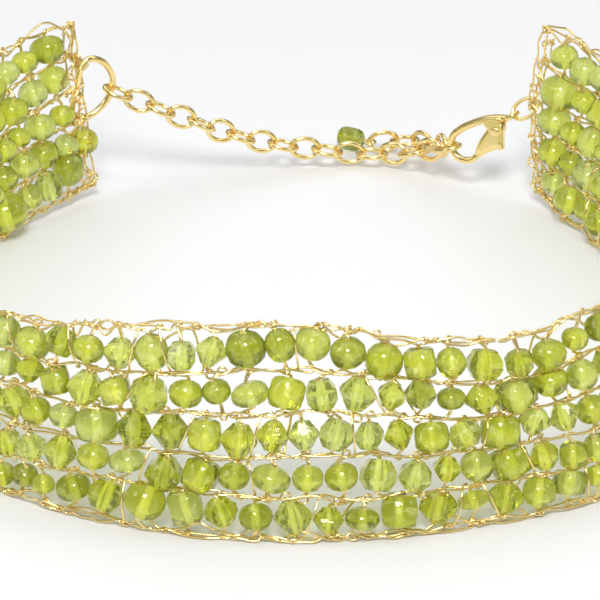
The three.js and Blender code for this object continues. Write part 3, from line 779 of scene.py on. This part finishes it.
for row in range(5):
    paths = [
        stitchWire(row, 1, stitch["aboveSeed"] + row), stitchWire(row, -1, stitch["belowSeed"] + row),
        *crossWires(row, crossing["seed"] + row),
    ]
    growWire(f"stitch_wire_{row + 1}", paths, wire["radius"], stitch["kinkSeed"] + row,
             wire["kink"] * stitch["kinkShare"])
print("row wires drawn")


# The edge has two strands that part between its knots and are twisted together in them.
def edgeStrands(upAt, inwards, seed, finish):
    knots = []
    length = edge["firstKnot"]
    i = 0
    while length < finish - 3:
        knots.append(length)
        length += edge["knotPitch"] * (0.55 + 0.9 * chance(i, seed, 30))
        i += 1
    strands = [[], [], []]
    for i, length in enumerate(knots):

        def vary(salt, amount):
            return spread(amount, i, seed, salt)

        reach = edge["knotLength"] * (0.45 + 0.8 * chance(i, seed, 34))
        tilt = vary(38, edge["knotTilt"])
        turns = edge["knotTurns"] * (0.6 + 0.8 * chance(i, seed, 39))
        for which, strand in enumerate(strands):
            if which == 2 and chance(i, seed, 36) < edge["bareShare"]:
                continue
            grow = thirdStrand if which == 2 else {"turns": 1, "radius": 1, "reach": 1}
            for step in range(8):
                share = step / 7 - 0.5
                turn = math.tau * (turns * grow["turns"] * share + which / 3 + chance(i, seed, 35))
                radius = edge["knotRadius"] * grow["radius"] * (0.6 + 0.5 * chance(step, seed + i, 40))
                up = upAt(length) + tilt * share + radius * math.cos(turn)
                strand.append(onBand(length + reach * grow["reach"] * share, up, radius * math.sin(turn)))
        gap = (knots[i + 1] if i + 1 < len(knots) else finish) - length
        bow = edge["bow"] * (chance(i, seed, 31) - 0.25) * -inwards
        sag = inwards * edge["sag"] * (0.3 + 0.7 * chance(i, seed, 32))
        clear = reach / 2 / gap
        for share, upper, lower in ((0.25, 0.6, 0.55), (0.5, 1.0, 1.0), (0.75, 0.7, 0.6)):
            at = length + gap * (clear + (1 - 2 * clear) * share)
            if gap > reach * 1.4:
                strands[0].append(onBand(at, upAt(at) + bow * upper + vary(41 + share, 0.12), 0.25))
                strands[1].append(onBand(at, upAt(at) + sag * lower + vary(45 + share, 0.2), vary(33, 0.3)))
    for which in range(2):
        strands[which].append(onBand(finish, upAt(finish), 0.1 - 0.2 * which))
    return [smoothPath(strands[0], 4), smoothPath(strands[1], 4), *splitFar(strands[2])]


# The third strand is only there inside a twist, so it is cut where it jumps to the next.
def splitFar(points):
    parts, part = [], []
    for point in points:
        if part and np.linalg.norm(point - part[-1]) > thirdStrand["cutAt"]:
            parts.append(smoothPath(part, 2))
            part = []
        part.append(point)
    if len(part) > 1:
        parts.append(smoothPath(part, 2))
    return parts


topStrands = edgeStrands(topEdgeUp, -1, edge["topSeed"], bandLength - rightSetback(1) - edge["setBack"])
lowStrands = edgeStrands(lambda length: edge["aboveFloor"], 1, edge["lowSeed"],
                         bandLength - rightSetback(0) - edge["setBack"])
growWire("top_edge_strands", topStrands, wire["radius"] * edge["thickness"], edge["topKinkSeed"],
         edge["topKink"], ("top_edge_wire",))
growWire("bottom_edge_strands", lowStrands, wire["radius"] * edge["thickness"], edge["lowKinkSeed"],
         edge["lowKink"], ("bottom_edge_wire",))


# Knots are given as (distance in from the end, height).
ends = {
    "strands": (0, 0.9, 2.1), "foot": 0.6, "topGap": 1.7, "steps": 14, "stray": 0.32, "strayOut": 0.3,
    "nearest": 0.55, "reach": 3.4, "pitch": 1.5, "zigzagOut": 0.9, "knotRadius": 0.5, "kink": 0.1,
    "leftSeed": 23, "leftKnots": ((0.4, 0.9), (0.6, 25.4), (0.3, 20.2), (0.3, 11.0)),
    "rightSeed": 24, "rightKnots": ((0.4, 0.9), (0.3, 26.0), (0.2, 13.2), (1.2, 6.0)),
}


# A kinked strand that runs up one end of the band.
def endStrand(lengthAt, inwards, seed):
    height = band["endHeight"] - ends["topGap"]
    points = []
    for i in range(ends["steps"] + 1):
        up = ends["foot"] + (height - ends["foot"]) * i / ends["steps"]
        length = lengthAt(up / band["endHeight"], inwards + spread(ends["stray"], i, seed, 36))
        points.append(onBand(length, up, spread(ends["strayOut"], i, seed, 37)))
    return smoothPath(points, 4)


# A strand that zigzags between the outermost one and the first beads, with a loop at each turn.
def endZigzag(lengthAt, seed):
    height = band["endHeight"] - ends["topGap"]
    points = []
    up, i = ends["foot"], 0
    while up < height:
        inwards = ends["nearest"] if i % 2 else ends["reach"] * (0.6 + 0.4 * chance(i, seed, 60))
        face = spread(ends["zigzagOut"], i, seed, 61)
        for step in range(6):
            turn = math.radians(180 * (i % 2) + 130 - step * 60)
            reach = ends["knotRadius"] * (0.5 + 0.6 * chance(i, seed, 62))
            points.append(onBand(lengthAt(up / band["endHeight"], inwards + reach * math.cos(turn)),
                                 max(up + reach * math.sin(turn), 0.4), face + 0.12 * (step - 3)))
        up += ends["pitch"] * (0.6 + 0.8 * chance(i, seed, 63))
        i += 1
    return smoothPath(points)


# A small tangle of wire where strands are tied off.
def wireKnot(centre, seed, radius):
    points = []
    for step in range(17):
        turn = step * 1.13 + seed
        points.append(np.asarray(centre) + radius * np.array([
            math.cos(turn), 0.8 * math.sin(turn * 1.31), 0.9 * math.sin(turn * 0.83 + seed),
        ]))
    return smoothPath(points)


def leftLength(_, inwards):
    return band["endStrandRadius"] + inwards


def rightLength(share, inwards):
    return bandLength - band["endStrandRadius"] - inwards - rightSetback(share)


def growEnd(name, node, lengthAt, knots, seed):
    paths = [endStrand(lengthAt, inwards, seed + i) for i, inwards in enumerate(ends["strands"])]
    paths += [endZigzag(lengthAt, seed + 5), endZigzag(lengthAt, seed + 6)]
    for i, (inwards, up) in enumerate(knots):
        centre = onBand(lengthAt(up / band["endHeight"], inwards), up)
        paths.append(wireKnot(centre, seed + i, ends["knotRadius"]))
    growWire(name, paths, wire["radius"], seed, ends["kink"], (node,))


growEnd("left_end_strands", "end_loop_left", leftLength, ends["leftKnots"], ends["leftSeed"])
growEnd("right_end_strands", "end_loop_right", rightLength, ends["rightKnots"], ends["rightSeed"])
print("edges and ends drawn")


# chain

chain = {"length": 4.33, "width": 3.12, "wire": 0.36, "sides": 8, "corners": 24, "links": 17, "tail": 5}
jumpRing = {"length": 4.1, "width": 2.9, "wire": 0.3, "sides": 10, "corners": 28}


# A round wire ring drawn out along x, set on every point.
def ovalLinksTree():
    tree, nodes, given = newTree("ovalLinks", [
        ("Length", "Float"), ("Width", "Float"), ("Wire radius", "Float"), ("Corners", "Int"),
        ("Sides", "Int"), ("Material", "Material"),
    ])
    ring = nodes.add("GeometryNodeCurvePrimitiveCircle", {
        "Resolution": given.out("Corners"), "Radius": given.out("Width") / 2,
    })
    place = nodes.add("GeometryNodeInputPosition")
    parts = nodes.add("ShaderNodeSeparateXYZ", {"Vector": place})
    stretch = parts.out("X") * (given.out("Length") / given.out("Width") - 1)
    offset = nodes.add("ShaderNodeCombineXYZ", {"X": stretch})
    oval = nodes.add("GeometryNodeSetPosition", {"Geometry": ring, "Offset": offset})
    link = sweepWire(nodes, given, oval, "Wire radius", False)
    placed = nodes.add("GeometryNodeInstanceOnPoints", {
        "Points": given.out("Geometry"), "Instance": link, "Rotation": pointTurn(nodes),
    })
    finishTree(nodes, given, placed)
    return tree


ovalLinks = ovalLinksTree()


def nodePoints(node):
    return np.array([vertex.co for vertex in frame["nodes"][node].data.vertices]) / mm


# Where a small ring of the frame lies: its middle, its long way and the way through it.
def ringPlace(node):
    points = nodePoints(node)
    centre = points.mean(axis=0)
    vectors = np.linalg.eigh(np.cov((points - centre).T))[1]
    longWay, through = vectors[:, 2], vectors[:, 0]
    return {"centre": centre, "axes": (longWay, np.cross(through, longWay), through), "size": (1, 1, 1)}


def makeLinks(name, nodes, spec):
    points = placePoints(name + "_places", [ringPlace(node) for node in nodes])
    piece = growMesh(name, points, ovalLinks, {
        "Length": spec["length"] * mm, "Width": spec["width"] * mm, "Wire radius": spec["wire"] * mm,
        "Corners": spec["corners"], "Sides": spec["sides"], "Material": chainGold,
    })
    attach(piece, "choker")
    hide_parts(*nodes)


linkNodes = [f"chain_link_{i + 1}" for i in range(chain["links"])]
linkNodes += [f"tail_link_{i + 1}" for i in range(chain["tail"])]
makeLinks("chain_links", linkNodes, chain)
makeLinks("jump_ring_smooth", ["jump_ring"], jumpRing)
print("chain laid")


# One closed solid along a path: its section is half as wide and half as deep as given at each
# point, and across is the way of its depth.
def sweptBar(path, across, halfWidths, halfDepths, closed=False, corners=12, fullness=1.0):
    path = [np.asarray(point, dtype=float) for point in path]
    count = len(path)
    points, faces = [], []
    for i, point in enumerate(path):
        before = path[i - 1] if closed or i else point
        after = path[(i + 1) % count] if closed or i < count - 1 else point
        side = unit(np.cross(across, after - before))
        share = i / (count - 1)
        width = np.interp(share, np.linspace(0, 1, len(halfWidths)), halfWidths)
        depth = np.interp(share, np.linspace(0, 1, len(halfDepths)), halfDepths)
        for k in range(corners):
            turn = k / corners * math.tau
            sideways = math.copysign(abs(math.cos(turn)) ** fullness, math.cos(turn))
            upwards = math.copysign(abs(math.sin(turn)) ** fullness, math.sin(turn))
            points.append(point + side * width * sideways + np.asarray(across) * depth * upwards)
    for i in range(count if closed else count - 1):
        low = (i + 1) % count
        for k in range(corners):
            nextK = (k + 1) % corners
            faces.append((i * corners + k, i * corners + nextK, low * corners + nextK, low * corners + k))
    if not closed:
        faces.append(tuple(reversed(range(corners))))
        faces.append(tuple(range((count - 1) * corners, count * corners)))
    return points, faces


# A flat outline of (x, y) given a thickness from low to high.
def platePart(outline, low, high):
    count = len(outline)
    points = [(x, y, z) for z in (low, high) for x, y in outline]
    faces = [tuple(reversed(range(count))), tuple(range(count, count * 2))]
    faces += [(k, (k + 1) % count, (k + 1) % count + count, k + count) for k in range(count)]
    return points, faces


def arc(centre, radius, start, finish, steps=8):
    turns = [math.radians(start + (finish - start) * step / steps) for step in range(steps + 1)]
    return [(centre[0] + radius * math.cos(turn), centre[1] + radius * math.sin(turn)) for turn in turns]


# Fuses parts in millimetres into one smooth casting, then puts it in its place.
def casting(name, parts, place, finish):
    whole = bmesh.new()
    for points, faces in parts:
        part = plainMesh("part", points, faces)
        whole.from_mesh(part)
        bpy.data.meshes.remove(part)
    bmesh.ops.recalc_face_normals(whole, faces=whole.faces)
    mesh = bpy.data.meshes.new(name)
    whole.to_mesh(mesh)
    whole.free()
    source = addObject(name + "_rough", mesh)
    fuse = source.modifiers.new("fuse", "REMESH")
    fuse.mode = "VOXEL"
    fuse.voxel_size = finish["voxel"]
    polish = source.modifiers.new("polish", "SMOOTH")
    polish.factor = finish["smoothing"]
    polish.iterations = finish["polish"]
    cast = settledMesh(name, source)
    origin = Matrix.Translation([length * mm for length in place["origin"]])
    cast.transform(origin @ turnOf(place["axes"]).to_4x4() @ Matrix.Scale(mm, 4))
    cast.shade_smooth()
    return addObject(name, cast, chainGold)


clasp = {
    "way": (-0.75, 0.22, -0.62),     # from its eye to its hook
    "pin": (3.0, -0.6), "length": 8.9, "hookRadius": 2.35, "hookEnd": -108,
    "barWidths": (0.55, 0.62, 0.6, 0.56, 0.54, 0.5, 0.47, 0.5, 0.46),
    "barDepths": (0.7, 1.0, 0.8, 0.72, 0.66, 0.62, 0.6, 0.6, 0.48), "barFullness": 0.75,
    "tipRadius": 0.36, "tipDepth": 0.4, "cheekInner": 0.8, "cheekOuter": 1.3, "cheekRadius": 0.85,
    "rivetRadius": 0.4, "rivetOut": 0.16, "eyeRadius": 1.0, "eyeWire": 0.38, "eyeDepth": 0.42,
    "leverDepth": 0.66, "leverRim": 0.75,
}
castFinish = {"voxel": 0.075, "smoothing": 0.5, "polish": 5}
bladeFinish = {**castFinish, "polish": 16}


# The clasp lies along x with its eye at the origin; its hinge runs through the pin along z.
def claspPlace():
    hinge = frame["joints"][0]
    through = unit(np.array(hinge["axis"]))
    way = np.array(clasp["way"])
    way = unit(way - through * (way @ through))
    across = np.cross(through, way)
    pivot = np.array(hinge["pos_m"]) / mm
    origin = pivot - way * clasp["pin"][0] - across * clasp["pin"][1]
    return {"origin": origin, "axes": (way, across, through)}


def claspBody():
    length, radius = clasp["length"], clasp["hookRadius"]
    spine = [(0.8, 0.0), (1.5, 0.45), (2.6, 1.05), (4.0, 1.6), (5.6, 2.0), (7.2, 2.25), (8.2, 2.28)]
    spine = [*spine, *arc((length - 0.05, -0.08), radius, 95, clasp["hookEnd"], 16)]
    way = smoothPath([(x, y, 0) for x, y in spine], 3)
    bar = sweptBar(way, (0, 0, 1), clasp["barWidths"], clasp["barDepths"], fullness=clasp["barFullness"])
    tip = arc(way[-1], clasp["tipRadius"], 0, 315, 7)
    pinX, pinY = clasp["pin"]
    cheek = arc((pinX, pinY), clasp["cheekRadius"], -150, 5, 8)
    cheek += [(4.1, 1.0), (3.6, 1.5), (2.6, 1.2), (1.9, 0.8), (1.75, 0.0)]
    inner, outer = clasp["cheekInner"], clasp["cheekOuter"]
    shoulder = [(1.5, 0.2), (1.6, 0.95), (3.2, 1.75), (5.2, 2.25), (5.5, 1.75), (3.4, 1.0), (2.2, 0.45)]
    rivet = arc((pinX, pinY), clasp["rivetRadius"], 0, 330, 11)
    eye = [(x, 0, z) for x, z in arc((0, 0), clasp["eyeRadius"], 0, 345, 23)]
    return [
        bar,
        platePart(tip, -clasp["tipDepth"], clasp["tipDepth"]),
        platePart(shoulder, -outer, outer),
        platePart(cheek, inner, outer),
        platePart(cheek, -outer, -inner),
        platePart(rivet, -outer - clasp["rivetOut"], outer + clasp["rivetOut"]),
        sweptBar(eye, (0, 1, 0), (clasp["eyeWire"],) * 2, (clasp["eyeDepth"],) * 2, closed=True),
    ]


# The lever, drawn from the pin at its own origin, with the nub for a thumb nail.
def claspLever():
    blade = [
        *arc((0, 0), 1.05, 70, 200, 7), (-0.45, -1.0), (0.0, -1.7), (0.45, -2.3),
        *arc((1.05, -2.5), 0.45, 200, 330, 5), (1.7, -2.42), (2.7, -2.3), (3.9, -2.12), (4.75, -2.2),
        (5.2, -1.75), (5.0, -1.1), (4.2, -0.45), (3.1, 0.15), (2.0, 0.6), (1.1, 0.88),
    ]
    depth = clasp["leverDepth"]
    ridge = [(x * 0.8 + 0.3, y * 0.72 - 0.12) for x, y in blade]
    rim = depth * clasp["leverRim"]
    return [platePart(blade, -rim, rim), platePart(ridge, -depth, depth)]


claspAt = claspPlace()
body = casting("clasp_hook", claspBody(), claspAt, castFinish)
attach(body, "choker")
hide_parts("clasp_body")
pinAt = claspAt["origin"] + claspAt["axes"][0] * clasp["pin"][0] + claspAt["axes"][1] * clasp["pin"][1]
lever = casting("clasp_thumb_lever", claspLever(), {"origin": pinAt, "axes": claspAt["axes"]}, bladeFinish)
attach(lever, "lever")
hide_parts("clasp_lever")
print("clasp cast")

dRing = {
    "up": 15.4, "twist": 14, "depth": 6.0, "height": 9.8, "wire": 0.5, "out": (0.84, 0.5, -0.2),
    "curve": [(0, -0.36), (0.22, -0.5), (0.62, -0.42), (0.93, -0.2), (1, 0.02),
              (0.93, 0.22), (0.62, 0.43), (0.22, 0.5), (0, 0.36), (0, 0)],
    "corners": 14, "bindAt": (5, 45), "bindTurns": 5, "bindPitch": 0.72, "bindReach": 1.3,
    "bindKink": 0.05, "bindSeed": 25,
}


def dRingPath():
    out = unit(np.array(dRing["out"]))
    rise = Matrix.Rotation(math.radians(dRing["twist"]), 3, Vector(out)) @ Vector(wallAt(0.3)["rise"])
    through = unit(np.cross(out, np.array(rise)))
    rise = np.cross(through, out)
    origin = onBand(0.3, dRing["up"]) - out * band["endStrandGap"] / 2
    curve = [origin + out * x * dRing["depth"] + rise * y * dRing["height"] for x, y in dRing["curve"]]
    return smoothPath(curve, 6, closed=True), through


def makeDRing():
    path, through = dRingPath()
    thickness = (dRing["wire"],) * 2
    bar = sweptBar(path, through, thickness, thickness, closed=True, corners=dRing["corners"])
    place = {"origin": (0, 0, 0), "axes": ((1, 0, 0), (0, 1, 0), (0, 0, 1))}
    piece = casting("d_ring_bar", [bar], place, castFinish)
    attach(piece, "choker")
    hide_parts("d_ring")
    return path


# Wire wound round a stretch of the D ring, to bind it to the band.
def binding(path, start):
    points = []
    reach = dRing["wire"] + wire["radius"] * dRing["bindReach"]
    for step in range(dRing["bindTurns"] * 8 + 1):
        along = start + step * dRing["bindPitch"] / 8
        i = int(along)
        here, ahead = path[i % len(path)], path[(i + 1) % len(path)]
        tangent = unit(ahead - here)
        centre = here + (ahead - here) * (along - i)
        side = unit(np.cross(tangent, (0.3, 0.2, 1)))
        turn = step / 8 * math.tau
        points.append(centre + reach * (side * math.cos(turn) + np.cross(tangent, side) * math.sin(turn)))
    return smoothPath(points, 2)


ringPath = makeDRing()
growWire("d_ring_binding", [binding(ringPath, start) for start in dRing["bindAt"]], wire["radius"],
         dRing["bindSeed"], dRing["bindKink"])

drop = {
    "way": (-0.86, 0.5, -0.02), "reach": 3.3, "radius": 1.62, "half": 1.95, "spin": 0.5, "seed": 5,
    "unevenness": 0.1, "unevenPerMm": 0.3, "eye": 0.85, "wire": 0.2, "neck": 0.4, "headAt": 5.6,
    "pinSeed": 26,
}


# The drop lies along its pin: the eye is where the node's own eye is, at its low end.
def makeDrop():
    way = unit(np.array(drop["way"]))
    points = nodePoints("drop_bead")
    along = points @ way
    eyeEnd = points[along < along.min() + drop["eye"] * 1.6].mean(axis=0)
    side = unit(np.cross((0, 0, 1), way))
    rise = np.cross(way, side)
    centre = eyeEnd + way * (along.min() + drop["wire"] + drop["eye"] - eyeEnd @ way)
    bead = {
        "centre": centre + way * drop["reach"], "axes": (side, rise, way),
        "size": (drop["radius"], drop["radius"], drop["half"]), "tint": 0.0,
    }
    barrel = growBeads("drop_barrel", "drum", [bead], drop, drop["seed"])
    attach(barrel, "choker")
    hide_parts("drop_bead")
    ring = [centre + drop["eye"] * (way * math.cos(turn) + side * math.sin(turn))
            for turn in (k / 20 * math.tau for k in range(3, 22))]
    neck, head = centre + way * (drop["eye"] + drop["neck"]), centre + way * drop["headAt"]
    growWire("drop_pin", [smoothPath([*ring, neck, head], 2)], drop["wire"], drop["pinSeed"], 0.0)


makeDrop()
print("D ring and drop made")

# stage, lights and camera

stage = {
    "size": 8.0, "floor": (0.86, 0.86, 0.87), "roughness": 0.9,
    "grainPerMetre": 300, "grain": 0.02, "grainDepth": 0.0001,
}


def makeStage():
    half = stage["size"] / 2
    corners = [(-half, -half, 0), (half, -half, 0), (half, half, 0), (-half, half, 0)]
    material, nodes = newMaterial("paper")
    place = nodes.add("ShaderNodeTexCoord", out="Object")
    bump = nodes.bump(stage["grain"], stage["grainDepth"], nodes.noise(place, stage["grainPerMetre"]))
    shader = nodes.add("ShaderNodeBsdfPrincipled", {
        "Base Color": colour(*stage["floor"]), "Roughness": stage["roughness"], "Normal": bump,
    })
    nodes.add("ShaderNodeOutputMaterial", {"Surface": shader})
    sheet = addObject("sheet", plainMesh("sheet", corners, [(0, 1, 2, 3)]), material)


makeStage()

lights = {
    "main": {"place": (0.0, -0.52, 0.68), "size": 0.3, "power": 4.7},
    "top": {"place": (0.0, 0.4, 0.9), "size": 1.4, "power": 4.6},
    "left": {"place": (-0.7, -0.15, 0.6), "size": 0.3, "power": 0.9},
    "right": {"place": (0.7, -0.05, 0.6), "size": 0.3, "power": 0.8},
}


def addLight(name, spec):
    data = bpy.data.lights.new(name, "AREA")
    data.shape = "DISK"
    data.size = spec["size"]
    data.energy = spec["power"]
    light = addObject(name, data)
    light.location = spec["place"]
    light.rotation_euler = (-Vector(spec["place"])).to_track_quat("-Z", "Y").to_euler()


for name, spec in lights.items():
    addLight(name, spec)

# The room is dim overhead and light at the horizon, where it meets the sheet.
room = {"colour": (0.95, 0.96, 1.0), "dim": 0.26, "light": 0.9, "haze": 0.14}
world = bpy.data.worlds.new("studio")
world.use_nodes = True
worldNodes = Nodes(world.node_tree)
way = worldNodes.add("ShaderNodeTexCoord", out="Generated")
height = worldNodes.add("ShaderNodeSeparateXYZ", {"Vector": way}, out="Z")
rising = worldNodes.add("ShaderNodeMapRange", {
    "Value": height, "From Min": 0.0, "From Max": room["haze"],
    "To Min": room["light"], "To Max": room["dim"],
})
sky = worldNodes.add("ShaderNodeBackground", {"Color": colour(*room["colour"]), "Strength": rising})
worldNodes.add("ShaderNodeOutputWorld", {"Surface": sky})
bpy.context.scene.world = world
bpy.context.scene.view_settings.view_transform = "Standard"

# metres, from a point on the floor just inside the front of the band
view = {
    "away": (0, -0.5559, 0.3187), "inside": 0.0003, "pitch": 27, "lens": 295.7, "sensor": 36, "nearest": 0.01,
}


def addCamera():
    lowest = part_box("bottom_edge_wire")[0]
    target = Vector((band["centreX"] * mm, lowest[1] + view["inside"], 0))
    data = bpy.data.cameras.new("camera")
    data.lens = view["lens"]
    data.sensor_width = view["sensor"]
    data.clip_start = view["nearest"]
    camera = addObject("camera", data)
    camera.location = target + Vector(view["away"])
    camera.rotation_euler = (math.pi / 2 - math.radians(view["pitch"]), 0, 0)
    bpy.context.scene.camera = camera


addCamera()
for form in beadForms.values():
    bpy.data.objects.remove(form)
print("stage set")
